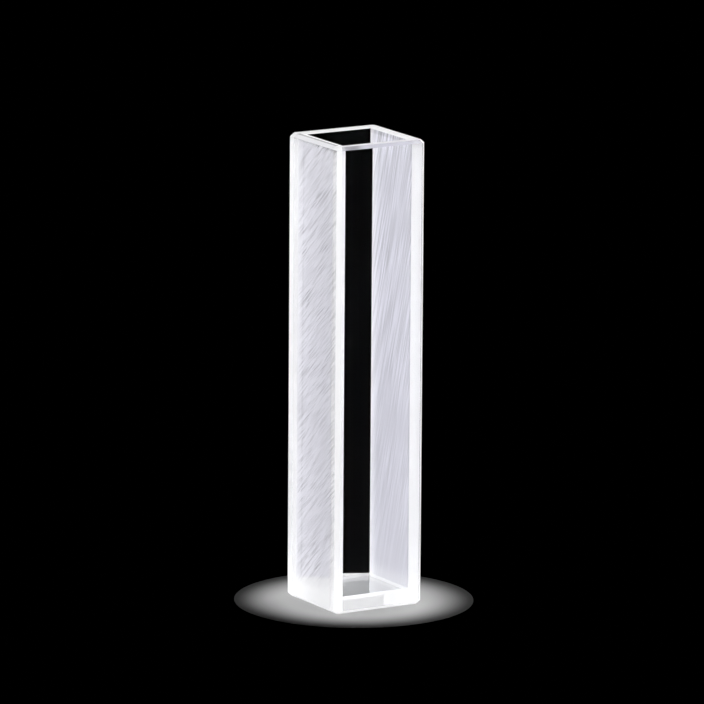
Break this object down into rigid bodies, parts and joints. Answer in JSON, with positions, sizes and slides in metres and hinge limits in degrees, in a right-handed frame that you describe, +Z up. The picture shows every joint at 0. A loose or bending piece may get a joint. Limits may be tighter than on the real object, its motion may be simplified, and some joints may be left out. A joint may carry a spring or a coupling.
{
  "type": "cuvette",
  "caption": "Tall square open-topped spectroscopy cell, with clear polished windows on the light path, ground glass side walls and a flat bonded base.",
  "frame": {"origin": "centre of the foot, on the plane that the cell stands on", "axes": "+Z up through the open mouth; Y is the light path, from the front window at -Y to the back window at +Y; +X points to the right ground wall"},
  "size_m": [0.0126, 0.0126, 0.059],
  "materials": {
    "polished_window": "optically polished, with ground edges",
    "ground_wall": "fine ground, frosted",
    "base_glass": "polished above, ground below"
  },
  "bodies": {
    "root": {"front_window": "polished_window", "back_window": "polished_window", "left_wall": "ground_wall", "right_wall": "ground_wall", "base_plate": "base_glass"}
  },
  "joints": []
}
